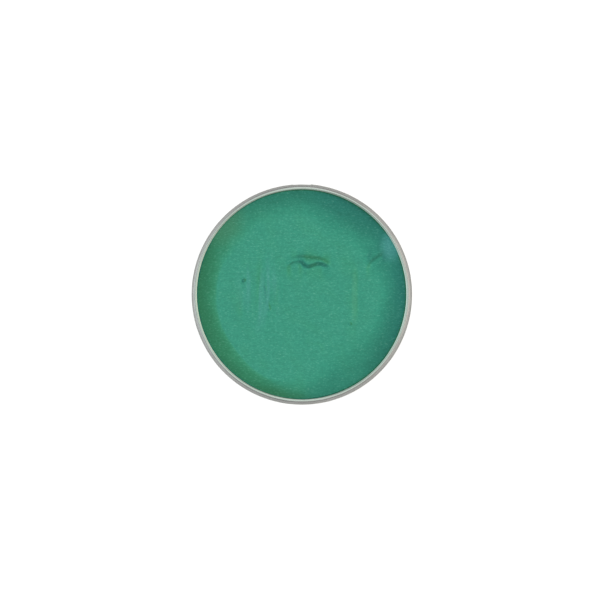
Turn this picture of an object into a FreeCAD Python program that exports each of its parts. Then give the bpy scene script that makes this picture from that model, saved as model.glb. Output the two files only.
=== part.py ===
"""A small open paint jar: a drawn aluminium tin with a rolled rim and a rolled screw neck,
filled to the brim with a thick paint, with a paper label round its side and one under its base.

Frame: +Z up, origin in the middle of the foot ring, on the surface that the jar stands on.
Front is -Y. The screw lid is not part of this model. Lengths are in millimetres.
"""
import FreeCAD
import Part

import math
import os

# The tin, drawn from one disc of sheet
HEIGHT = 20.0            # table to the top of the rolled rim
BODY_RADIUS = 25.0       # outside of the straight wall
SHEET = 0.30             # thickness of the sheet
CORNER_RADIUS = 1.8      # outside corner between the wall and the base
FOOT_WIDTH = 1.6         # flat ring that the jar stands on
PANEL_RISE = 0.8         # the base panel's height over the table, which leaves room for its label
PANEL_SLOPE_RUN = 0.9    # how far the slope from the foot ring up to the panel runs inwards
PANEL_BEND = 0.5         # bends at the two ends of that slope
NECK_STEP = 1.20         # how far the neck lies inside the wall
SHOULDER_HEIGHT = 1.3    # height of the slope from the wall in to the neck
SHOULDER_BEND = 0.8      # bends at its two ends
RIM_RADIUS = 0.52        # outside radius of the rolled rim's section
RIM_CURL = 275.0         # degrees that the sheet turns in the rolled rim

# The screw thread, rolled into the neck's sheet
THREAD_PITCH = 3.0
THREAD_TURNS = 1.2
THREAD_OVER_RIM = 0.30   # how far its crest stands outside the rolled rim, which a lid's thread has to pass
THREAD_VALLEY = 0.50     # plain neck between one turn of the ridge and the next
THREAD_BEND = 0.50       # outside bend of the ridge's crest
THREAD_FADE = 28.0       # degrees over which each end sinks into the neck
THREAD_SINK = 0.10       # how far the ends lie under the neck's face
THREAD_LAND = 0.25       # plain neck above and below the thread
THREAD_STEP = 7.0        # degrees between the points that its curve goes through
THREAD_START = -125.0    # degrees from +X to its lower end, which puts both ends at the front

# The paint
PAINT_LEVEL = 0.08       # the flat top's depth under the top of the rim
PAINT_EDGE_DROP = 0.40   # how much lower the paint meets the wall
PAINT_EDGE_RUN = 3.4     # width of the sloping border
PAINT_EDGE_BEND = 20.0   # bend where the flat top turns into the border

# The labels
LABEL_THICKNESS = 0.10
LABEL_MARGIN = 0.5       # bare metal between the side label and the bends above and below it
LABEL_SEAM = 4.0         # bare metal between the side label's two ends, at the back
BASE_LABEL_MARGIN = 2.2  # bare metal between the base label and the bend of the panel

# What follows from these sizes
neck_radius = BODY_RADIUS - NECK_STEP
mouth_radius = neck_radius - SHEET
rim_height = HEIGHT - RIM_RADIUS
rim_centre = mouth_radius + RIM_RADIUS
thread_crest = rim_centre + RIM_RADIUS + THREAD_OVER_RIM
ridge_half_width = (THREAD_PITCH - THREAD_VALLEY) / 2
ridge_bend_height = thread_crest - THREAD_BEND - neck_radius
ridge_flank = (math.acos(THREAD_BEND / math.hypot(ridge_half_width, ridge_bend_height))
               - math.atan2(ridge_bend_height, ridge_half_width))
neck_length = THREAD_PITCH * THREAD_TURNS + 2 * (ridge_half_width + THREAD_LAND)
shoulder_top = rim_height - RIM_RADIUS - neck_length
shoulder_foot = shoulder_top - SHOULDER_HEIGHT
thread_middle = shoulder_top + neck_length / 2
foot_inner = BODY_RADIUS - CORNER_RADIUS - FOOT_WIDTH
panel_radius = foot_inner - PANEL_SLOPE_RUN
paint_top = HEIGHT - PAINT_LEVEL


def point(radius, height):
    """A point of a section, in the plane that is turned about the axis."""
    return FreeCAD.Vector(radius, 0, height)


def offset_corner(before, here, after, distance):
    """Where the two lines that meet at a corner would meet if both moved to their left."""
    first = (here - before).normalize()
    second = (after - here).normalize()
    first_left = FreeCAD.Vector(-first.z, 0, first.x)
    second_left = FreeCAD.Vector(-second.z, 0, second.x)
    share = distance / (1 + first_left.dot(second_left))
    return here + (first_left + second_left) * share


def offset_path(corners, distance):
    """The same path, moved to its left, as (point, bend radius) pairs. Left bends get tighter."""
    moved = []
    last = len(corners) - 1
    for number, (here, bend) in enumerate(corners):
        before = corners[max(number - 1, 0)][0]
        after = corners[min(number + 1, last)][0]
        if number == 0:
            before = here * 2 - after
        if number == last:
            after = here * 2 - before
        turn = (here - before).cross(after - here).y
        radius = bend + distance * (1 if turn > 0 else -1) if bend else 0
        moved.append((offset_corner(before, here, after, distance), radius))
    return moved


def path_edges(corners):
    """Straight lines between the corners, with a tangent arc at each corner that has a bend radius."""
    edges = []
    start = corners[0][0]
    for number in range(1, len(corners)):
        here, bend = corners[number]
        arc_start = here
        if bend:
            back = (corners[number - 1][0] - here).normalize()
            on = (corners[number + 1][0] - here).normalize()
            half = back.getAngle(on) / 2
            arc_start = here + back * (bend / math.tan(half))
        edges.append(Part.LineSegment(start, arc_start).toShape())
        start = arc_start
        if bend:
            middle = here + (back + on).normalize() * (bend / math.sin(half) - bend)
            arc_end = here + on * (bend / math.tan(half))
            edges.append(Part.Arc(arc_start, middle, arc_end).toShape())
            start = arc_end
    return edges


def turned(edges):
    """The solid that a closed outline makes when it is turned about the axis."""
    face = Part.Face(Part.Wire(edges))
    return face.revolve(point(0, 0), FreeCAD.Vector(0, 0, 1), 360)


def filled_turn(corners):
    """The solid between the axis and a path that starts on it, with a level top."""
    top = point(0, corners[-1][0].z)
    edges = path_edges(corners + [(top, 0)])
    edges.append(Part.LineSegment(top, corners[0][0]).toShape())
    return turned(edges)


def tin_outside():
    """The outer skin of the tin, from the middle of the base to the foot of the rolled rim."""
    return [
        (point(0, PANEL_RISE), 0),
        (point(panel_radius, PANEL_RISE), PANEL_BEND),
        (point(foot_inner, 0), PANEL_BEND),
        (point(BODY_RADIUS, 0), CORNER_RADIUS),
        (point(BODY_RADIUS, shoulder_foot), SHOULDER_BEND),
        (point(neck_radius, shoulder_top), SHOULDER_BEND),
        (point(neck_radius, rim_height), 0),
    ]


def thread_ridge(inset):
    """The rolled ridge: its outer skin with no inset, its hollow back with an inset of one sheet."""
    bend = THREAD_BEND - inset
    apex = thread_crest - inset + bend * (1 / math.sin(ridge_flank) - 1)
    base = neck_radius - inset - THREAD_SINK
    half = (apex - base) * math.tan(ridge_flank)
    drop = thread_crest - neck_radius + THREAD_SINK
    total = 360 * THREAD_TURNS
    steps = math.ceil(total / THREAD_STEP)
    points = []
    for step in range(steps + 1):
        angle = total * step / steps
        faded = max(0.0, 1 - min(angle, total - angle) / THREAD_FADE)
        sunk = drop * (0.5 - 0.5 * math.cos(math.pi * faded))
        turn = math.radians(angle)
        radius = neck_radius - sunk
        height = thread_middle + THREAD_PITCH * (angle - total / 2) / 360
        points.append(FreeCAD.Vector(radius * math.cos(turn), radius * math.sin(turn), height))
    section = path_edges([(point(base, -half), 0), (point(apex, 0), bend), (point(base, half), 0)])
    section.append(Part.LineSegment(point(base, half), point(base, -half)).toShape())
    ring = Part.Wire(section)
    ring.translate(FreeCAD.Vector(-drop, 0, points[0].z))
    curve = Part.BSplineCurve()
    curve.interpolate(points)
    sweep = Part.BRepOffsetAPI.MakePipeShell(Part.Wire(curve.toShape()))
    sweep.setBiNormalMode(FreeCAD.Vector(0, 0, 1))
    sweep.add(ring)
    sweep.build()
    sweep.makeSolid()
    ridge = sweep.shape()
    ridge.rotate(point(0, 0), FreeCAD.Vector(0, 0, 1), THREAD_START)
    return ridge


def make_rim():
    """The sheet's edge, rolled outwards into a hollow bead."""
    centre = point(rim_centre, rim_height)

    def rolled(radius, angle):
        turn = math.radians(angle)
        return centre + point(radius * math.cos(turn), radius * math.sin(turn))

    inside = RIM_RADIUS - SHEET
    last = 180 - RIM_CURL
    middle = (180 + last) / 2
    return turned([
        Part.Arc(rolled(RIM_RADIUS, 180), rolled(RIM_RADIUS, middle), rolled(RIM_RADIUS, last)).toShape(),
        Part.LineSegment(rolled(RIM_RADIUS, last), rolled(inside, last)).toShape(),
        Part.Arc(rolled(inside, last), rolled(inside, middle), rolled(inside, 180)).toShape(),
        Part.LineSegment(rolled(inside, 180), rolled(RIM_RADIUS, 180)).toShape(),
    ])


def make_cavity():
    """The room inside the tin, up to the top of its rim, with the back of the rolled thread."""
    inner = offset_path(tin_outside(), SHEET)
    inner[-1] = (point(mouth_radius, HEIGHT), 0)
    return filled_turn(inner).fuse(thread_ridge(SHEET))


def make_tin(cavity):
    outside = filled_turn(tin_outside()).fuse(thread_ridge(0))
    return outside.cut(cavity).fuse(make_rim()).removeSplitter()


def make_paint(cavity):
    """The paint takes the shape of the tin up to its own top, which slopes down towards the wall."""
    past_wall = BODY_RADIUS + CORNER_RADIUS
    slope = PAINT_EDGE_DROP / PAINT_EDGE_RUN
    edge_start = mouth_radius - PAINT_EDGE_RUN
    room = filled_turn([
        (point(0, 0), 0),
        (point(past_wall, 0), 0),
        (point(past_wall, paint_top - slope * (past_wall - edge_start)), 0),
        (point(edge_start, paint_top), PAINT_EDGE_BEND),
        (point(edge_start / 2, paint_top), 0),
    ])
    return cavity.common(room).removeSplitter()


def make_side_label():
    """Paper stuck round the straight wall, open at the back between its two ends."""
    low = CORNER_RADIUS + LABEL_MARGIN
    high = shoulder_foot - SHOULDER_BEND - LABEL_MARGIN
    outer = BODY_RADIUS + LABEL_THICKNESS
    seam = math.degrees(LABEL_SEAM / BODY_RADIUS)
    axis = FreeCAD.Vector(0, 0, 1)
    ring = Part.makeCylinder(outer, high - low, point(0, low), axis, 360 - seam)
    ring = ring.cut(Part.makeCylinder(BODY_RADIUS, high - low, point(0, low), axis))
    ring.rotate(point(0, 0), axis, 90 + seam / 2)
    return ring


def make_base_label():
    """A paper disc stuck to the underside of the base panel, clear of the table."""
    radius = panel_radius - BASE_LABEL_MARGIN
    return Part.makeCylinder(radius, LABEL_THICKNESS, point(0, PANEL_RISE - LABEL_THICKNESS))


def build():
    cavity = make_cavity()
    return {
        "tin_body": make_tin(cavity),
        "paint_fill": make_paint(cavity),
        "side_label": make_side_label(),
        "base_label": make_base_label(),
    }


os.makedirs("parts", exist_ok=True)
for name, shape in build().items():
    print(name, "solids", len(shape.Solids), "valid", shape.isValid(), "volume", round(shape.Volume, 2))
    shape.exportStep("parts/" + name + ".step")
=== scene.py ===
import math

import bpy
import numpy as np
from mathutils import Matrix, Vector


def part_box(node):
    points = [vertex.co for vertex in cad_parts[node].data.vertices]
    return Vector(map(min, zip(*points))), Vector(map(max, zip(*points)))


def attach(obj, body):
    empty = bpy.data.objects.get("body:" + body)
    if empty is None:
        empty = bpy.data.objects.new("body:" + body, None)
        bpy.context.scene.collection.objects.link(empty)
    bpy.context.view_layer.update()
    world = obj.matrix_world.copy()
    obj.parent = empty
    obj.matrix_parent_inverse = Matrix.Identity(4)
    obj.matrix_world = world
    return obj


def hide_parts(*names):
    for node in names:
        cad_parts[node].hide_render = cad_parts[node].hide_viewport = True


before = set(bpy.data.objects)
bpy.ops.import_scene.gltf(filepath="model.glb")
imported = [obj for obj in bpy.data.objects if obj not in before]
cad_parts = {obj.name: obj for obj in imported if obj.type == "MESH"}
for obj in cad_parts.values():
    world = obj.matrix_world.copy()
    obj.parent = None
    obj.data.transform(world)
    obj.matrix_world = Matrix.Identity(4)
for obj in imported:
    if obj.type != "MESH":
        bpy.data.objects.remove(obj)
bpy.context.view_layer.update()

MM = 0.001


# The tin
# One disc of 0.3 mm aluminium sheet, drawn into a low cup. Its neck has a rolled thread, and the
# sheet's edge is curled outwards into a hollow bead round the mouth. It is washed and not lacquered.
NECK_TOP = 19.2              # mm over the table, as are the next four; the bead lies over it
NECK_FOOT = 12.0             # where the slope from the wall ends
WALL_TOP = 11.0              # where it starts
WALL_FOOT = 1.8              # the bend into the base starts under this height
BASE_EDGE = 0.9              # under this height the sheet is all base
BEAD_CREST = 24.02           # from the axis
# The mint tint on the bead's inner half is a trace of paint and a painted reflection of the green paint
TRACE_AND_REFLECTION_FADE = (0.22, -0.05)   # from the crest, outwards: where the trace of paint starts and is full
TOOL_LINE = 0.14             # mm between the lines that the spinning and drawing tools leave
LINE_LENGTH = 6.0            # mm
BASE_GRAIN = (4.0, 0.16)     # mm; length and spacing of the sheet's own rolling lines, seen on the base


def linear(hex_colour, alpha=1.0):
    """An sRGB hex colour as the linear one that Blender works in."""
    parts = [int(hex_colour[i:i + 2], 16) / 255 for i in (0, 2, 4)]
    return [c / 12.92 if c <= 0.04045 else ((c + 0.055) / 1.055) ** 2.4 for c in parts] + [alpha]


def add(tree, kind, inputs=(), stops=(), **settings):
    """Adds a node with its settings, its ramp's stops, and a value or a link for each input."""
    made = tree.nodes.new(kind)
    for name, value in settings.items():
        setattr(made, name, value)
    for name, value in dict(inputs).items():
        if isinstance(value, bpy.types.NodeSocket):
            tree.links.new(value, made.inputs[name])
        else:
            made.inputs[name].default_value = value
    for number, (place, colour) in enumerate(stops):
        elements = made.color_ramp.elements
        stop = elements[number] if number < len(elements) else elements.new(place)
        stop.position = place
        stop.color = colour
    return made


def new_material(name):
    made = bpy.data.materials.new(name)
    made.use_nodes = True
    made.node_tree.nodes.clear()
    return made, made.node_tree


def give(piece, material):
    piece.data.materials.clear()
    piece.data.materials.append(material)


def round_the_jar(tree):
    """Sockets for the arc length from the front, the height and the radius, all in metres."""
    place = add(tree, "ShaderNodeTexCoord").outputs["Object"]
    parts = add(tree, "ShaderNodeSeparateXYZ", {0: place}).outputs
    flat = add(tree, "ShaderNodeVectorMath", {0: place, 1: (1, 1, 0)}, operation="MULTIPLY")
    radius = add(tree, "ShaderNodeVectorMath", {0: flat.outputs[0]}, operation="LENGTH").outputs["Value"]
    back = add(tree, "ShaderNodeMath", {0: parts["Y"], 1: -1.0}, operation="MULTIPLY")
    turn = add(tree, "ShaderNodeMath", {0: parts["X"], 1: back.outputs[0]}, operation="ARCTAN2")
    arc = add(tree, "ShaderNodeMath", {0: turn.outputs[0], 1: radius}, operation="MULTIPLY").outputs[0]
    return place, arc, parts["Z"], radius


# Bare drawn aluminium. Silvery grey with a soft shine, drawn out along the way that the tools ran:
# round the neck and the bead, up the wall, and straight across the base. The bead's inner half is
# tinted mint, for a trace of paint and as a painted reflection of the green paint beside it.
def drawn_aluminium():
    material, tree = new_material("drawn_aluminium")
    place, arc, height, radius = round_the_jar(tree)
    spun_place = add(tree, "ShaderNodeCombineXYZ", {0: arc, 1: height, 2: radius})
    spun_scale = (1 / (LINE_LENGTH * MM), 1 / (TOOL_LINE * MM), 1 / (TOOL_LINE * MM))
    spun = add(tree, "ShaderNodeTexNoise", {
        "Vector": add(tree, "ShaderNodeVectorMath", {0: spun_place.outputs[0], 1: spun_scale},
                      operation="MULTIPLY").outputs[0],
        "Scale": 1.0, "Detail": 3.0, "Roughness": 0.6})
    drawn_scale = (1 / (TOOL_LINE * 1.5 * MM), 1 / (LINE_LENGTH * MM), 1 / (TOOL_LINE * MM))
    drawn = add(tree, "ShaderNodeTexNoise", {
        "Vector": add(tree, "ShaderNodeVectorMath", {0: spun_place.outputs[0], 1: drawn_scale},
                      operation="MULTIPLY").outputs[0],
        "Scale": 1.0, "Detail": 3.0, "Roughness": 0.65})
    grain_scale = (1 / (BASE_GRAIN[0] * MM), 1 / (BASE_GRAIN[1] * MM), 1 / (BASE_GRAIN[1] * MM))
    rolled = add(tree, "ShaderNodeTexNoise", {
        "Vector": add(tree, "ShaderNodeVectorMath", {0: place, 1: grain_scale},
                      operation="MULTIPLY").outputs[0],
        "Scale": 1.0, "Detail": 4.0, "Roughness": 0.6})
    on_wall = add(tree, "ShaderNodeMapRange", {
        "Value": height, "From Min": NECK_FOOT * MM, "From Max": WALL_TOP * MM})
    on_base = add(tree, "ShaderNodeMapRange", {
        "Value": height, "From Min": WALL_FOOT * MM, "From Max": BASE_EDGE * MM})
    sides = add(tree, "ShaderNodeMix", {0: on_wall.outputs[0], 2: spun.outputs["Fac"],
                                        3: drawn.outputs["Fac"]})
    lines = add(tree, "ShaderNodeMix", {0: on_base.outputs[0], 2: sides.outputs[0],
                                        3: rolled.outputs["Fac"]})
    rough = add(tree, "ShaderNodeMapRange", {
        "Value": lines.outputs[0], "From Min": 0.25, "From Max": 0.75, "To Min": 0.18, "To Max": 0.33})
    handled = add(tree, "ShaderNodeTexNoise", {
        "Vector": place, "Scale": 1 / (2.5 * MM), "Detail": 5.0, "Roughness": 0.65})
    tone = add(tree, "ShaderNodeValToRGB", {"Fac": handled.outputs["Fac"]}, [
        (0.3, linear("CACBC8")), (0.7, linear("DADBD8"))])
    # Painted reflection: the bead's inner half is tinted mint, for a trace of paint and for the green paint
    # reflected in the metal
    inner_half = add(tree, "ShaderNodeMapRange", {
        "Value": radius, "From Min": (BEAD_CREST + TRACE_AND_REFLECTION_FADE[0]) * MM,
        "From Max": (BEAD_CREST + TRACE_AND_REFLECTION_FADE[1]) * MM})
    on_bead = add(tree, "ShaderNodeMapRange", {
        "Value": height, "From Min": NECK_TOP * MM, "From Max": (NECK_TOP + 0.2) * MM})
    paint_trace_and_reflection = add(tree, "ShaderNodeMath", {0: inner_half.outputs[0], 1: on_bead.outputs[0]},
                operation="MULTIPLY")
    tinted = add(tree, "ShaderNodeMix", {
        0: paint_trace_and_reflection.outputs[0], 6: tone.outputs[0], 7: linear("D6E8DC")}, data_type="RGBA")
    relief = add(tree, "ShaderNodeBump", {
        "Height": lines.outputs[0], "Distance": 0.006 * MM, "Strength": 0.7})
    shader = add(tree, "ShaderNodeBsdfPrincipled", {
        "Base Color": tinted.outputs[2], "Metallic": 1.0, "Roughness": rough.outputs[0],
        "Normal": relief.outputs[0]})
    add(tree, "ShaderNodeOutputMaterial", {"Surface": shader.outputs[0]})
    return material


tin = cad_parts["tin_body"]
give(tin, drawn_aluminium())


# The side label
# A strip of white coated paper with a self-adhesive back, printed with a brush stroke in the paint's
# colour and two rules. It is stuck round the straight wall and stays open at the back of the jar,
# where one end has begun to lift.
LABEL_CORNER = 1.2           # mm; rounded corners of the strip
LABEL_THICKNESS = 0.10
LABEL_SEAM = 4.0             # bare metal between the strip's two ends
LABEL_LIFT = 0.05            # how far the lifting end has come off the wall, as yet hardly at all
LIFT_LENGTH = 5.0            # how much of the strip lifts
LABEL_COLUMNS = 360
LABEL_ROWS = 14
STROKE_HEIGHTS = (3.9, 8.0)  # the printed brush stroke, from the table up
STROKE_HALF_LENGTH = 58.0
RULE_HEIGHTS = (2.85, 9.2)   # the two printed rules
RULE_HALF_WIDTH = 0.13
LINE_INK = "3A7F6C"
PAPER_FIBRE = 0.3            # mm


def ease(value):
    """0 below 0, 1 above 1, with a smooth rise between."""
    value = np.clip(value, 0, 1)
    return value * value * (3 - 2 * value)


def new_piece(name, vertices, faces):
    """A smooth mesh object from points in mm."""
    mesh = bpy.data.meshes.new(name)
    mesh.from_pydata([tuple(p) for p in np.array(vertices) * MM], [], faces)
    mesh.validate()
    mesh.polygons.foreach_set("use_smooth", [True] * len(mesh.polygons))
    made = bpy.data.objects.new(name, mesh)
    bpy.context.scene.collection.objects.link(made)
    return made


def sheet_faces(columns, rows, start, flipped):
    faces = []
    for column in range(columns - 1):
        for row in range(rows - 1):
            here = start + column * rows + row
            face = (here, here + rows, here + rows + 1, here + 1)
            faces.append(face[::-1] if flipped else face)
    return faces


def label_strip():
    """The strip's outer and inner faces as two grids, joined round their edges."""
    low, high = (corner.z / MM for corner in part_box("side_label"))
    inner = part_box("side_label")[1].x / MM - LABEL_THICKNESS
    half = math.pi * inner - LABEL_SEAM / 2
    ends = half - LABEL_CORNER * (1 - np.cos(np.linspace(0, math.pi / 2, 9)))
    middle = np.linspace(-ends[-1], ends[-1], LABEL_COLUMNS - 2 * len(ends) + 2)
    arcs = np.concatenate([-ends[:-1], middle, ends[:-1][::-1]])
    points = []
    for side in (LABEL_THICKNESS, 0):
        for arc in arcs:
            into_corner = max(0.0, LABEL_CORNER - (half - abs(arc)))
            trim = LABEL_CORNER - math.sqrt(LABEL_CORNER ** 2 - into_corner ** 2)
            turn = arc / inner - math.pi / 2
            for share in np.linspace(0, 1, LABEL_ROWS):
                height = low + trim + (high - low - 2 * trim) * share
                lift = LABEL_LIFT * ease((arc - half + LIFT_LENGTH) / LIFT_LENGTH) ** 1.5
                wrinkle = 0.012 * math.sin(arc * 0.9 + 2 * math.sin(height * 0.8)) * math.sin(arc * 0.23)
                radius = inner + side + lift * (0.6 + 0.4 * share) + max(0.0, wrinkle)
                points.append((radius * math.cos(turn), radius * math.sin(turn), height))
    count = len(arcs) * LABEL_ROWS
    faces = sheet_faces(len(arcs), LABEL_ROWS, 0, False)
    faces += sheet_faces(len(arcs), LABEL_ROWS, count, True)
    last = (len(arcs) - 1) * LABEL_ROWS
    border = [column * LABEL_ROWS for column in range(len(arcs))]
    border += [last + row for row in range(1, LABEL_ROWS)]
    border += [column * LABEL_ROWS + LABEL_ROWS - 1 for column in range(len(arcs) - 2, -1, -1)]
    border += [row for row in range(LABEL_ROWS - 2, 0, -1)]
    for here, on in zip(border, border[1:] + border[:1]):
        faces.append((on, here, here + count, on + count))
    return new_piece("side_label_paper", points, faces)


def coated_paper(tree, place):
    """Sockets for the paper's off-white colour and for the bumps of its fibres, PAPER_FIBRE apart."""
    fibre = add(tree, "ShaderNodeTexNoise", {
        "Vector": place, "Scale": 1 / (PAPER_FIBRE * MM), "Detail": 6.0, "Roughness": 0.7})
    paper = add(tree, "ShaderNodeValToRGB", {"Fac": fibre.outputs["Fac"]}, [
        (0.3, linear("F0EEE6")), (0.7, linear("FAF9F4"))])
    relief = add(tree, "ShaderNodeBump", {
        "Height": fibre.outputs["Fac"], "Distance": 0.01 * MM, "Strength": 0.4})
    return paper.outputs[0], relief.outputs[0]


def printed_line(tree, under, measure, middle, half_width, soft):
    """The colour under it, with a line printed where the measure is near its middle, in mm."""
    away = add(tree, "ShaderNodeMath", {0: measure, 1: middle * MM}, operation="SUBTRACT")
    away = add(tree, "ShaderNodeMath", {0: away.outputs[0]}, operation="ABSOLUTE")
    line = add(tree, "ShaderNodeMapRange", {
        "Value": away.outputs[0],
        "From Min": (half_width + soft) * MM, "From Max": (half_width - soft) * MM})
    return add(tree, "ShaderNodeMix", {
        0: line.outputs[0], 6: under, 7: linear(LINE_INK)}, data_type="RGBA").outputs[2]


# Coated paper, printed. Off-white with a faint fibre grain under a satin coating. The brush stroke is
# full in its middle and breaks up into bristle streaks at its edges and ends.
def printed_strip():
    material, tree = new_material("printed_coated_paper")
    place, arc, height, _ = round_the_jar(tree)
    paper, relief = coated_paper(tree, place)
    along = add(tree, "ShaderNodeCombineXYZ", {0: arc, 1: height})
    bristle = add(tree, "ShaderNodeTexNoise", {
        "Vector": add(tree, "ShaderNodeVectorMath", {
            0: along.outputs[0], 1: (1 / (16 * MM), 1 / (0.22 * MM), 0)}, operation="MULTIPLY").outputs[0],
        "Scale": 1.0, "Detail": 4.0, "Roughness": 0.65})
    wander = add(tree, "ShaderNodeTexNoise", {
        "Vector": along.outputs[0], "Scale": 1 / (9 * MM), "Detail": 2.0})
    middle = sum(STROKE_HEIGHTS) / 2 * MM
    half = (STROKE_HEIGHTS[1] - STROKE_HEIGHTS[0]) / 2 * MM
    sway = add(tree, "ShaderNodeMapRange", {
        "Value": wander.outputs["Fac"], "To Min": middle - 0.8 * MM, "To Max": middle + 0.8 * MM})
    off_middle = add(tree, "ShaderNodeMath", {0: height, 1: sway.outputs[0]}, operation="SUBTRACT")
    off_middle = add(tree, "ShaderNodeMath", {0: off_middle.outputs[0]}, operation="ABSOLUTE")
    in_width = add(tree, "ShaderNodeMapRange", {
        "Value": off_middle.outputs[0], "From Min": half * 1.1, "From Max": half * 0.55})
    off_front = add(tree, "ShaderNodeMath", {0: arc}, operation="ABSOLUTE")
    in_length = add(tree, "ShaderNodeMapRange", {
        "Value": off_front.outputs[0],
        "From Min": STROKE_HALF_LENGTH * MM, "From Max": STROKE_HALF_LENGTH * 0.55 * MM})
    full = add(tree, "ShaderNodeMath", {0: in_width.outputs[0], 1: in_length.outputs[0]},
               operation="MULTIPLY")
    wet = add(tree, "ShaderNodeMath", {0: full.outputs[0], 1: bristle.outputs["Fac"]}, operation="ADD")
    stroke = add(tree, "ShaderNodeMapRange", {"Value": wet.outputs[0], "From Min": 0.72, "From Max": 0.82})
    ink = add(tree, "ShaderNodeValToRGB", {"Fac": bristle.outputs["Fac"]}, [
        (0.30, linear("2C8A6C")), (0.5, linear("3E9D80")), (0.70, linear("58B095"))])
    stroked = add(tree, "ShaderNodeMix", {
        0: stroke.outputs[0], 6: paper, 7: ink.outputs[0]}, data_type="RGBA")
    printed = stroked.outputs[2]
    for rule_height in RULE_HEIGHTS:
        printed = printed_line(tree, printed, height, rule_height, RULE_HALF_WIDTH, 0.02)
    rough = add(tree, "ShaderNodeMapRange", {
        "Value": stroke.outputs[0], "To Min": 0.52, "To Max": 0.40})
    shader = add(tree, "ShaderNodeBsdfPrincipled", {
        "Base Color": printed, "Roughness": rough.outputs[0], "IOR": 1.5, "Normal": relief})
    add(tree, "ShaderNodeOutputMaterial", {"Surface": shader.outputs[0]})
    return material


strip = label_strip()
give(strip, printed_strip())
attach(strip, "root")
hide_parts("side_label")


# The base label
# A disc of the same paper, stuck to the raised base panel, clear of the table. It is printed with two
# rings in the paint's colour.
DISC_SECTORS = 192
DISC_EDGE = 0.03             # mm; the cut edge is a little crushed
RING_RADII = (15.6, 16.4)
RING_HALF_WIDTH = 0.15


def turned_rings(rings, start=None, end=None):
    """Faces between rings of equal length. A start or an end is one point that closes that side."""
    count = len(rings[0])
    points = [p for ring in rings for p in ring]
    faces = []
    for number in range(len(rings) - 1):
        low, high = number * count, (number + 1) * count
        for here in range(count):
            on = (here + 1) % count
            faces.append((low + here, low + on, high + on, high + here))
    if start is not None:
        points.append(start)
        faces += [(len(points) - 1, (here + 1) % count, here) for here in range(count)]
    if end is not None:
        points.append(end)
        last = (len(rings) - 1) * count
        faces += [(len(points) - 1, last + here, last + (here + 1) % count) for here in range(count)]
    return points, faces


def label_disc():
    """The disc's underside from the middle to its edge, then its top."""
    lowest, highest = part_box("base_label")
    outer, low, high = highest.x / MM, lowest.z / MM, highest.z / MM
    turns = np.arange(DISC_SECTORS) * 2 * math.pi / DISC_SECTORS
    section = [(radius, low) for radius in np.linspace(1.5, outer - DISC_EDGE, 16)]
    section += [(outer, low + DISC_EDGE), (outer, high - DISC_EDGE), (outer - DISC_EDGE, high)]
    rings = []
    for radius, height in section:
        bubble = 0.02 * np.sin(3 * turns + radius * 0.5) * math.sin(radius * 0.35) if height == low else 0
        rings.append(np.column_stack([radius * np.cos(turns), radius * np.sin(turns),
                                      np.full(DISC_SECTORS, height) + np.maximum(bubble, 0)]))
    points, faces = turned_rings(rings, (0, 0, low), (0, 0, high))
    return new_piece("base_label_paper", points, faces)


# The same coated paper, with rings.
def printed_disc():
    material, tree = new_material("ringed_coated_paper")
    place, _, _, radius = round_the_jar(tree)
    printed, relief = coated_paper(tree, place)
    for ring_radius in RING_RADII:
        printed = printed_line(tree, printed, radius, ring_radius, RING_HALF_WIDTH, 0.03)
    shader = add(tree, "ShaderNodeBsdfPrincipled", {
        "Base Color": printed, "Roughness": 0.52, "IOR": 1.5, "Normal": relief})
    add(tree, "ShaderNodeOutputMaterial", {"Surface": shader.outputs[0]})
    return material


disc = label_disc()
give(disc, printed_disc())
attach(disc, "root")
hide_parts("base_label")


# The paint
# A thick water-based paint with a pearl pigment, filled in to the brim. Its skin has a flat middle
# and a border that rolls down to the wall, and it keeps the folds and dents of a soft paste.
LEVEL_UNDER_RIM = 0.05       # mm; the skin's middle under the top of the rim
BEAD_RADIUS = 0.52
FILM = 0.012                 # the paint wets the bead with a film this thick
WALL_GAP = 0.03              # keeps the paint's side off the tin's own surface
NECK_INSIDE = 23.5
WALL_INSIDE = 24.7           # inside of the tin's straight wall
CORNER_INSIDE = 1.5          # inside bend between that wall and the base
PANEL_INSIDE = 20.9          # where the raised base panel ends
FOOT_INSIDE = 21.7           # where its slope meets the foot ring
PANEL_RISE = 0.8
NECK_FOOT_INSIDE = 12.2
WALL_TOP_INSIDE = 10.7
SKIN_RINGS = 176
SKIN_SECTORS = 512

# The border, where the skin rolls down to the wall: degrees round from +X, how wide it is in mm, how
# steep it gets at the wall, and its bend. A bend over 1 steepens late, and one under 1 starts sharply.
BORDER = [
    (0, 6.5, 0.17, 1.1),      # the right side, gradual
    (25, 8.0, 0.12, 1.0),
    (60, 9.5, 0.18, 1.2),     # widest and steepest at the back right
    (90, 7.0, 0.14, 1.2),
    (130, 6.5, 0.09, 1.0),
    (170, 4.4, 0.13, 0.5),    # the left side, a narrow band with a sharp start
    (215, 4.2, 0.11, 0.4),
    (250, 3.2, 0.12, 0.5),
    (270, 7.0, 0.11, 2.0),    # only a thin edge at the front
    (300, 12.0, 0.09, 1.2),   # a long soft lean at the front right
    (335, 7.5, 0.16, 1.1),
]

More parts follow.
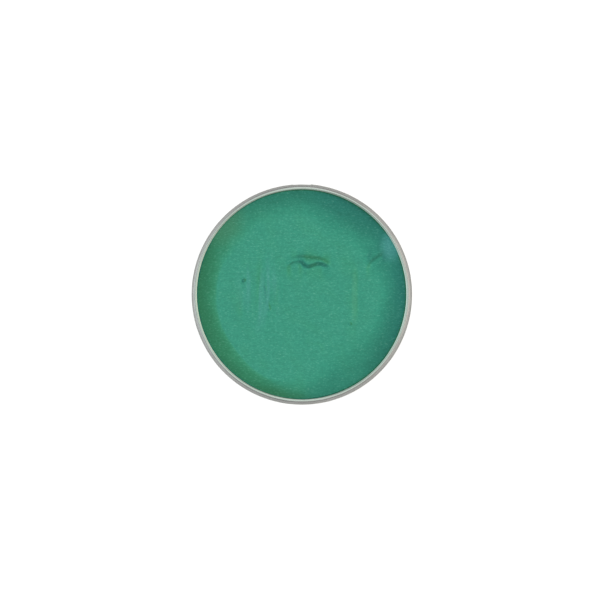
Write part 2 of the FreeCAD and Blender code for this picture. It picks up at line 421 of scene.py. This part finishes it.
# Folds, where the skin steps from one level to the next: the points they follow from left to right,
# their half width, and how much lower their front side is
FOLDS = [
    # the double fold over the middle: its upper fold, then the lower one, deeper on the right
    ([(-2.9, 7.9), (-1.1, 8.55), (0.4, 8.6), (2.0, 8.4), (3.6, 8.25), (4.7, 7.95), (6.2, 7.5)], 0.34, 0.056),
    ([(-3.6, 6.3), (-2.3, 7.0), (-1.2, 7.4), (-0.2, 7.35), (0.6, 6.7), (1.3, 6.2)], 0.32, -0.085),
    ([(-1.2, 7.4), (-0.2, 7.25), (0.4, 6.75), (1.0, 6.3), (1.7, 6.2), (2.5, 6.5), (3.4, 6.85), (4.3, 6.85),
      (5.2, 6.6), (6.8, 6.2)], 0.40, -0.200),
    # the slanting dent by the wall on the right
    ([(14.4, 6.6), (16.0, 7.7), (16.9, 8.3), (17.8, 8.9), (18.7, 9.6), (19.6, 10.6)], 0.50, -0.135),
    # lines at the front
    ([(0.8, -11.1), (3.0, -11.2), (5.2, -11.3)], 0.30, 0.018),
    ([(6.0, -11.6), (7.8, -11.8), (9.8, -11.5)], 0.30, 0.018),
]
FOLD_REACH = 2.3             # how far off a fold the skin is level again
# Swells, or furrows where the height is negative: the points they follow, half width and height
SWELLS = [
    # a nick on the left, two pull marks beside it and a dimple on the right
    ([(-13.4, 2.9), (-13.05, 3.1), (-12.7, 3.35)], 0.21, -0.065),
    ([(-8.3, 2.2), (-8.0, 0.6), (-7.8, -0.6)], 0.30, -0.034),
    ([(-7.9, -1.4), (-7.5, -2.6), (-7.2, -3.8)], 0.30, -0.030),
    ([(10.6, -6.9), (11.2, -6.5)], 0.30, -0.030),
    # the ripples on both sides and at the back
    ([(-13.4, 2.4), (-13.2, -1.0), (-13.4, -5.6)], 1.0, 0.028),
    ([(-8.5, 9.5), (-8.7, 5.0), (-8.8, 1.0), (-8.6, -3.5)], 1.1, 0.036),
    ([(-5.2, 3.0), (-5.1, -0.5), (-5.3, -3.0)], 0.9, 0.026),
    ([(12.7, 6.6), (12.8, 1.0), (12.7, -6.6)], 0.8, 0.018),
    ([(-6.5, 17.0), (-1.0, 17.9), (4.5, 17.3)], 0.7, 0.012),
]
HOLLOW = (2.2, -2.1, 9.6, 9.2, 0.03)   # middle x, y, half width, half height and depth
ROLL_LENGTH = 7.0            # the skin's faint unevenness: length of its waves
ROLL_HEIGHT = 0.005
ROLL_WAVES = 24


def round_values(degrees, column):
    """One column of BORDER at any direction, smooth all the way round."""
    known = np.array([row[0] for row in BORDER] + [360])
    values = np.array([row[column] for row in BORDER] + [BORDER[0][column]])
    place = np.clip(np.searchsorted(known, degrees, side="right") - 1, 0, len(known) - 2)
    share = ease((degrees - known[place]) / (known[place + 1] - known[place]))
    return values[place] * (1 - share) + values[place + 1] * share


def border_fall(x, y):
    """How far the skin lies under its middle, by how near the wall it is."""
    degrees = np.degrees(np.arctan2(y, x)) % 360
    width, steepness, bend = (round_values(degrees, column) for column in (1, 2, 3))
    share = np.clip(1 - (NECK_INSIDE - np.hypot(x, y)) / width, 0, None)
    return steepness * width * share ** (bend + 1) / (bend + 1)


def curve_through(points, steps=10):
    """A smooth line through the points."""
    ends = [points[0], *points, points[-1]]
    line = []
    for before, here, on, after in zip(ends, ends[1:], ends[2:], ends[3:]):
        before, here, on, after = (np.array(p, float) for p in (before, here, on, after))
        for t in np.linspace(0, 1, steps, endpoint=False):
            line.append(0.5 * (2 * here + (on - before) * t
                               + (2 * before - 5 * here + 4 * on - after) * t ** 2
                               + (3 * here - before - 3 * on + after) * t ** 3))
    line.append(np.array(points[-1], float))
    return np.array(line)


def off_line(x, y, points, reach):
    """Which points lie near a line, how far off it they are, and a fade towards its ends."""
    line = curve_through(points)
    near = ((x > line[:, 0].min() - reach) & (x < line[:, 0].max() + reach)
            & (y > line[:, 1].min() - reach) & (y < line[:, 1].max() + reach))
    px, py = x[near], y[near]
    away = np.full(px.shape, np.inf)
    along = np.zeros_like(px)
    for number, (start, end) in enumerate(zip(line, line[1:])):
        run = end - start
        share = np.clip(((px - start[0]) * run[0] + (py - start[1]) * run[1]) / (run @ run), 0, 1)
        distance = np.hypot(px - start[0] - share * run[0], py - start[1] - share * run[1])
        nearer = distance < away
        away[nearer] = distance[nearer]
        along[nearer] = ((number + share) / (len(line) - 1))[nearer]
    return near, away, ease(along / 0.3) * ease((1 - along) / 0.3) * 0.85 + 0.15


def behind_line(x, y, points):
    """How far the points lie behind a line that runs from left to right, how far they lie off the
    straight line between its ends, and a fade towards these."""
    line = curve_through(points)
    slant = np.interp(x, line[:, 0], np.gradient(line[:, 1], line[:, 0]))
    along = np.clip((x - line[0, 0]) / (line[-1, 0] - line[0, 0]), 0, 1)
    behind = (y - np.interp(x, line[:, 0], line[:, 1])) / np.hypot(1, slant)
    off = y - line[0, 1] * (1 - along) - line[-1, 1] * along
    return behind, off, ease(along / 0.3) * ease((1 - along) / 0.3)


def skin_height(x, y):
    """The paint's top over its middle level, in mm."""
    height = -border_fall(x, y)
    middle_x, middle_y, half_x, half_y, depth = HOLLOW
    across = ((np.abs(x - middle_x) / half_x) ** 4 + (np.abs(y - middle_y) / half_y) ** 4) ** 0.25
    height -= depth * (1 - ease((across - 0.75) / 0.5))
    for points, width, drop in FOLDS:
        behind, off, fade = behind_line(x, y, points)
        height += drop / 2 * fade * np.tanh(behind / width) * np.exp(-(off / FOLD_REACH) ** 2)
    for points, width, rise in SWELLS:
        near, away, fade = off_line(x, y, points, 3 * width)
        height[near] += rise * fade * np.exp(-(away / width) ** 2)
    random = np.random.default_rng(11)
    for _ in range(ROLL_WAVES):
        turn = random.uniform(0, 2 * math.pi)
        length = ROLL_LENGTH * random.uniform(0.35, 1.4)
        phase = random.uniform(0, 2 * math.pi)
        wave = np.cos((x * math.cos(turn) + y * math.sin(turn)) * 2 * math.pi / length + phase)
        height += ROLL_HEIGHT * (length / ROLL_LENGTH) * wave / 3
    return height


def film_reach(turns):
    """How many degrees further up the bead the paint's film creeps, uneven all the way round."""
    random = np.random.default_rng(5)
    reach = np.full(turns.shape, 23.0)
    for waves in (3, 7, 16, 31, 47):
        reach += 9 / math.sqrt(waves) * np.sin(waves * turns + random.uniform(0, 2 * math.pi))
    return np.clip(reach, 2, None)


def paint_body():
    """The skin as rings from its middle to the bead, its film on the bead, then the hidden sides."""
    rim_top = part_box("tin_body")[1].z / MM
    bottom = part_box("paint_fill")[0].z / MM
    level = rim_top - LEVEL_UNDER_RIM
    bead_height = rim_top - BEAD_RADIUS
    turns = np.arange(SKIN_SECTORS) * 2 * math.pi / SKIN_SECTORS

    def ring(radius, height):
        return np.column_stack([radius * np.cos(turns), radius * np.sin(turns),
                                np.broadcast_to(height, turns.shape)])

    at_wall = level + skin_height(NECK_INSIDE * np.cos(turns), NECK_INSIDE * np.sin(turns))
    climb = np.arcsin(np.clip((at_wall - bead_height) / BEAD_RADIUS, 0.02, 0.9))
    edge = BEAD_CREST - BEAD_RADIUS * np.cos(climb) - FILM
    rings = []
    for share in np.arange(1, SKIN_RINGS + 1) / SKIN_RINGS:
        x, y = share * edge * np.cos(turns), share * edge * np.sin(turns)
        rings.append(np.column_stack([x, y, level + skin_height(x, y)]))
    further = np.radians(film_reach(turns))
    for share, off in ((0.35, FILM), (0.7, FILM), (1.0, FILM / 2), (1.0, -WALL_GAP)):
        turn = climb + share * further
        rings.append(ring(BEAD_CREST - (BEAD_RADIUS + off) * np.cos(turn),
                          bead_height + (BEAD_RADIUS + off) * np.sin(turn)))
    below = [(NECK_INSIDE - WALL_GAP, bead_height), (NECK_INSIDE - WALL_GAP, NECK_FOOT_INSIDE),
             (WALL_INSIDE - WALL_GAP, WALL_TOP_INSIDE)]
    for turn in np.linspace(0, math.pi / 2, 5):
        below.append((WALL_INSIDE - WALL_GAP - CORNER_INSIDE * (1 - math.cos(turn)),
                      bottom + WALL_GAP + CORNER_INSIDE * (1 - math.sin(turn))))
    below += [(FOOT_INSIDE, bottom + WALL_GAP), (PANEL_INSIDE, bottom + PANEL_RISE + WALL_GAP)]
    rings += [ring(radius, height) for radius, height in below]
    top = (0, 0, level + float(skin_height(np.zeros(1), np.zeros(1))[0]))
    points, faces = turned_rings(rings, top, (0, 0, bottom + PANEL_RISE + WALL_GAP))
    return new_piece("paint", points, [face[::-1] for face in faces])


# Pearl acrylic paint, wet and settled, its flakes lying flat in the skin. Painted shade makes it
# brightest where the skin is level and darker on slopes, and a painted flop turns it to olive where
# slopes face left and to teal where they face right. Fine level lines, patches of painted sheen and
# shade, upright streaks of painted sheen and flakes painted as bright glints lie over that.
# Painted flop: slopes facing along this direction are painted teal, and slopes facing away olive
FLOP_DIRECTION = (0.940, 0.342, 0.0)
FLOP_SLOPE = 0.12            # the slope at which the colour has turned all the way
# Patches of painted sheen and shade, where the paint's colour is shifted lighter or darker: middle and
# reach of the patch in mm, the shift's share, its colour, and whether it follows the upright streaks
SHEEN_AND_SHADE_PATCHES = [
    ((-9.6, 0.6), (6.4, 11.0), 0.9, "5CC2AF", True),
    ((11.9, -0.8), (0.9, 8.5), 0.50, "63C8A1", False),
    ((20.2, 11.0), (3.2, 4.6), 0.85, "58B7B0", False),
    ((-18.6, 16.7), (7.5, 7.5), 0.55, "5CA882", False),
    ((-8.5, -24.0), (12.0, 4.4), 0.45, "428A5B", False),
]
FLAKE_SIZE = 0.34            # mm; real flakes are under 0.1 mm, and would not show


def pearl_paint():
    material, tree = new_material("pearl_acrylic_paint")
    place = add(tree, "ShaderNodeTexCoord").outputs["Object"]
    normal = add(tree, "ShaderNodeNewGeometry").outputs["Normal"]
    # Painted flop: the colour turns by which way the skin's normal faces, olive to the left and teal to the
    # right
    side = add(tree, "ShaderNodeVectorMath", {0: normal, 1: FLOP_DIRECTION}, operation="DOT_PRODUCT")
    turned = add(tree, "ShaderNodeMapRange", {
        "Value": side.outputs["Value"], "From Min": -FLOP_SLOPE, "From Max": FLOP_SLOPE})
    painted_flop_hue = add(tree, "ShaderNodeValToRGB", {"Fac": turned.outputs[0]}, [
        (0.00, linear("53BD89")), (0.25, linear("51BD8F")), (0.35, linear("51BD95")),
        (0.42, linear("50BF9C")), (0.50, linear("4DBD9F")), (0.62, linear("4BBDA1")),
        (0.71, linear("4ABDA2")), (0.79, linear("4ABDA4")), (1.00, linear("47BDAA"))])
    # Painted shade: the colour is multiplied darker the more the skin slopes, whichever way it faces
    flat = add(tree, "ShaderNodeVectorMath", {0: normal, 1: (1, 1, 0)}, operation="MULTIPLY")
    lean = add(tree, "ShaderNodeVectorMath", {0: flat.outputs[0]}, operation="LENGTH")
    painted_slope_shade = add(tree, "ShaderNodeValToRGB", {"Fac": lean.outputs["Value"]}, [
        (0.0, (1, 1, 1, 1)), (0.02, (0.93, 0.98, 0.96, 1)), (0.035, (0.86, 0.93, 0.905, 1)),
        (0.05, (0.78, 0.865, 0.84, 1)), (0.075, (0.67, 0.755, 0.74, 1)),
        (0.10, (0.57, 0.655, 0.645, 1)), (0.17, (0.47, 0.54, 0.53, 1)),
        (0.26, (0.32, 0.48, 0.42, 1)), (0.45, (0.28, 0.42, 0.37, 1))])
    shaded = add(tree, "ShaderNodeMix", {0: 1.0, 6: painted_flop_hue.outputs[0], 7: painted_slope_shade.outputs[0]},
                 data_type="RGBA", blend_type="MULTIPLY")
    sideways = add(tree, "ShaderNodeVectorMath", {0: place, 1: (0.16, 1.0, 1.0)}, operation="MULTIPLY")
    level_lines = add(tree, "ShaderNodeTexNoise", {
        "Vector": sideways.outputs[0], "Scale": 1 / (0.55 * MM), "Detail": 2.0, "Roughness": 0.6})
    line_tone = add(tree, "ShaderNodeMapRange", {
        "Value": level_lines.outputs["Fac"], "From Min": 0.3, "From Max": 0.7,
        "To Min": 0.96, "To Max": 1.04})
    lined = add(tree, "ShaderNodeMix", {0: 1.0, 6: shaded.outputs[2], 7: line_tone.outputs[0]},
                data_type="RGBA", blend_type="MULTIPLY")
    # Upright streaks that carry the first patch's painted sheen
    upright = add(tree, "ShaderNodeVectorMath", {0: place, 1: (1.0, 0.13, 1.0)}, operation="MULTIPLY")
    drawn = add(tree, "ShaderNodeTexNoise", {
        "Vector": upright.outputs[0], "Scale": 1 / (1.6 * MM), "Detail": 1.0})
    sheen_streak = add(tree, "ShaderNodeMapRange", {
        "Value": drawn.outputs["Fac"], "From Min": 0.48, "From Max": 0.66, "To Min": 0.0, "To Max": 1.0})
    tinted = lined.outputs[2]
    # Each patch paints the paint lighter, as painted sheen, or darker, as painted shade
    for middle, reach, share, colour, drawn_out in SHEEN_AND_SHADE_PATCHES:
        away = add(tree, "ShaderNodeVectorMath", {
            0: place, 1: (middle[0] * MM, middle[1] * MM, 0)}, operation="SUBTRACT")
        scaled = add(tree, "ShaderNodeVectorMath", {
            0: away.outputs[0], 1: (1 / (reach[0] * MM), 1 / (reach[1] * MM), 0)}, operation="MULTIPLY")
        off = add(tree, "ShaderNodeVectorMath", {0: scaled.outputs[0]}, operation="LENGTH")
        patch = add(tree, "ShaderNodeMapRange", {
            "Value": off.outputs["Value"], "From Min": 0.3, "From Max": 1.0, "To Min": share, "To Max": 0.0},
            interpolation_type="SMOOTHSTEP")
        amount = patch.outputs[0]
        if drawn_out:
            amount = add(tree, "ShaderNodeMath", {0: amount, 1: sheen_streak.outputs[0]},
                         operation="MULTIPLY").outputs[0]
        tinted = add(tree, "ShaderNodeMix", {0: amount, 6: tinted, 7: linear(colour)},
                     data_type="RGBA").outputs[2]
    stretched = add(tree, "ShaderNodeVectorMath", {0: place, 1: (0.60, 1.25, 1.0)}, operation="MULTIPLY")
    flake = add(tree, "ShaderNodeTexNoise", {
        "Vector": stretched.outputs[0], "Scale": 1 / (FLAKE_SIZE * MM), "Detail": 2.0, "Roughness": 0.7})
    flaked = add(tree, "ShaderNodeMapRange", {
        "Value": flake.outputs["Fac"], "From Min": 0.30, "From Max": 0.70, "To Min": 0.87, "To Max": 1.13})
    sparkled = add(tree, "ShaderNodeMix", {0: 1.0, 6: tinted, 7: flaked.outputs[0]},
                   data_type="RGBA", blend_type="MULTIPLY")
    # Flakes painted as glints: the brightest specks of the flake noise are mixed towards a pale mint
    glint_amount = add(tree, "ShaderNodeMapRange", {
        "Value": flake.outputs["Fac"], "From Min": 0.57, "From Max": 0.80, "To Min": 0.0, "To Max": 0.24})
    painted_flake_glint = add(tree, "ShaderNodeMix", {
        0: glint_amount.outputs[0], 6: sparkled.outputs[2], 7: linear("AEE3D4")}, data_type="RGBA")
    relief = add(tree, "ShaderNodeBump", {
        "Height": flake.outputs["Fac"], "Distance": 0.008 * MM, "Strength": 0.6})
    rough = add(tree, "ShaderNodeMapRange", {
        "Value": flake.outputs["Fac"], "From Min": 0.3, "From Max": 0.7, "To Min": 0.50, "To Max": 0.40})
    shader = add(tree, "ShaderNodeBsdfPrincipled", {
        "Base Color": painted_flake_glint.outputs[2], "Metallic": 0.2, "Roughness": rough.outputs[0], "IOR": 1.45,
        "Specular IOR Level": 0.25, "Normal": relief.outputs[0]})
    add(tree, "ShaderNodeOutputMaterial", {"Surface": shader.outputs[0]})
    return material


paint = paint_body()
give(paint, pearl_paint())
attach(paint, "root")
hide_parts("paint_fill")


# The table and the light
# A white table with a faint glow of its own, in a pale room that is brightest at its two sides and
# dimmest a little to the front, under one long soft light. The camera looks down on the jar, a third
# of a degree off its axis.
FLOOR_HALF = 3.0
SIDE_BRIGHTNESS = 0.85       # how much brighter the room is at its two sides
floor_mesh = bpy.data.meshes.new("floor")
floor_mesh.from_pydata([(-FLOOR_HALF, -FLOOR_HALF, 0), (FLOOR_HALF, -FLOOR_HALF, 0),
                        (FLOOR_HALF, FLOOR_HALF, 0), (-FLOOR_HALF, FLOOR_HALF, 0)], [], [(0, 1, 2, 3)])
floor = bpy.data.objects.new("floor", floor_mesh)
bpy.context.scene.collection.objects.link(floor)
white, white_tree = new_material("white_table")
glow = add(white_tree, "ShaderNodeMath", {
    0: add(white_tree, "ShaderNodeLightPath").outputs["Is Camera Ray"], 1: 0.68, 2: 0.04},
    operation="MULTIPLY_ADD")
white_shader = add(white_tree, "ShaderNodeBsdfPrincipled", {
    "Base Color": linear("EDEDED"), "Roughness": 0.9, "Specular IOR Level": 0.1,
    "Emission Color": linear("FFFFFF"), "Emission Strength": glow.outputs[0]})
add(white_tree, "ShaderNodeOutputMaterial", {"Surface": white_shader.outputs[0]})
give(floor, white)

world = bpy.data.worlds.new("room")
bpy.context.scene.world = world
world.use_nodes = True
world.node_tree.nodes.clear()
seen = add(world.node_tree, "ShaderNodeLightPath")
toward = add(world.node_tree, "ShaderNodeTexCoord").outputs["Generated"]
sides = add(world.node_tree, "ShaderNodeSeparateXYZ", {0: toward})
depth = add(world.node_tree, "ShaderNodeMapRange", {"Value": sides.outputs["Y"], "From Min": -1.0})
depth = add(world.node_tree, "ShaderNodeValToRGB", {"Fac": depth.outputs[0]}, [
    (0.0, (0.30, 0.30, 0.30, 1)), (0.27, (0.16, 0.16, 0.16, 1)), (0.45, (0.34, 0.34, 0.34, 1)),
    (0.70, (0.34, 0.34, 0.34, 1)), (1.0, (0.29, 0.29, 0.29, 1))])
across = add(world.node_tree, "ShaderNodeMath", {0: sides.outputs["X"], 1: sides.outputs["X"]},
             operation="MULTIPLY")
across = add(world.node_tree, "ShaderNodeMath", {
    0: across.outputs[0], 1: SIDE_BRIGHTNESS, 2: depth.outputs[0]}, operation="MULTIPLY_ADD")
tint = add(world.node_tree, "ShaderNodeMapRange", {"Value": sides.outputs["X"], "From Min": -1.0})
tint = add(world.node_tree, "ShaderNodeValToRGB", {"Fac": tint.outputs[0]}, [
    (0.0, linear("F0F7FA")), (0.5, linear("FAFAFA")), (1.0, linear("FFF8EE"))])
room = add(world.node_tree, "ShaderNodeBackground", {0: tint.outputs[0], 1: across.outputs[0]})
backdrop = add(world.node_tree, "ShaderNodeBackground", {0: linear("FFFFFF"), 1: 1.0})
both = add(world.node_tree, "ShaderNodeMixShader", {
    0: seen.outputs["Is Camera Ray"], 1: room.outputs[0], 2: backdrop.outputs[0]})
add(world.node_tree, "ShaderNodeOutputWorld", {"Surface": both.outputs[0]})

lamp = bpy.data.lights.new("overhead", "AREA")
lamp.shape = "ELLIPSE"
lamp.size = 4.0
lamp.size_y = 0.8
lamp.energy = 4.2
overhead = bpy.data.objects.new("overhead", lamp)
overhead.location = (0.10, 0.0, 1.5)
overhead.rotation_euler = (-overhead.location).to_track_quat("-Z", "Y").to_euler()
overhead.visible_camera = False
bpy.context.scene.collection.objects.link(overhead)

CAMERA_HEIGHT = 1.1474
CAMERA_AIM = Vector((-0.00042, -0.00127, 0.010))
CAMERA_OFF_AXIS = Vector((0.0065, -0.0030))
camera_data = bpy.data.cameras.new("camera")
camera_data.lens = 300
camera_data.sensor_width = 36
camera_data.clip_end = 20
camera = bpy.data.objects.new("camera", camera_data)
camera.location = (CAMERA_AIM.x + CAMERA_OFF_AXIS.x, CAMERA_AIM.y + CAMERA_OFF_AXIS.y, CAMERA_HEIGHT)
reach = CAMERA_HEIGHT - CAMERA_AIM.z
camera.rotation_euler = (-math.atan(CAMERA_OFF_AXIS.y / reach), math.atan(CAMERA_OFF_AXIS.x / reach), 0)
bpy.context.scene.collection.objects.link(camera)
bpy.context.scene.camera = camera
bpy.context.scene.view_settings.view_transform = "Standard"
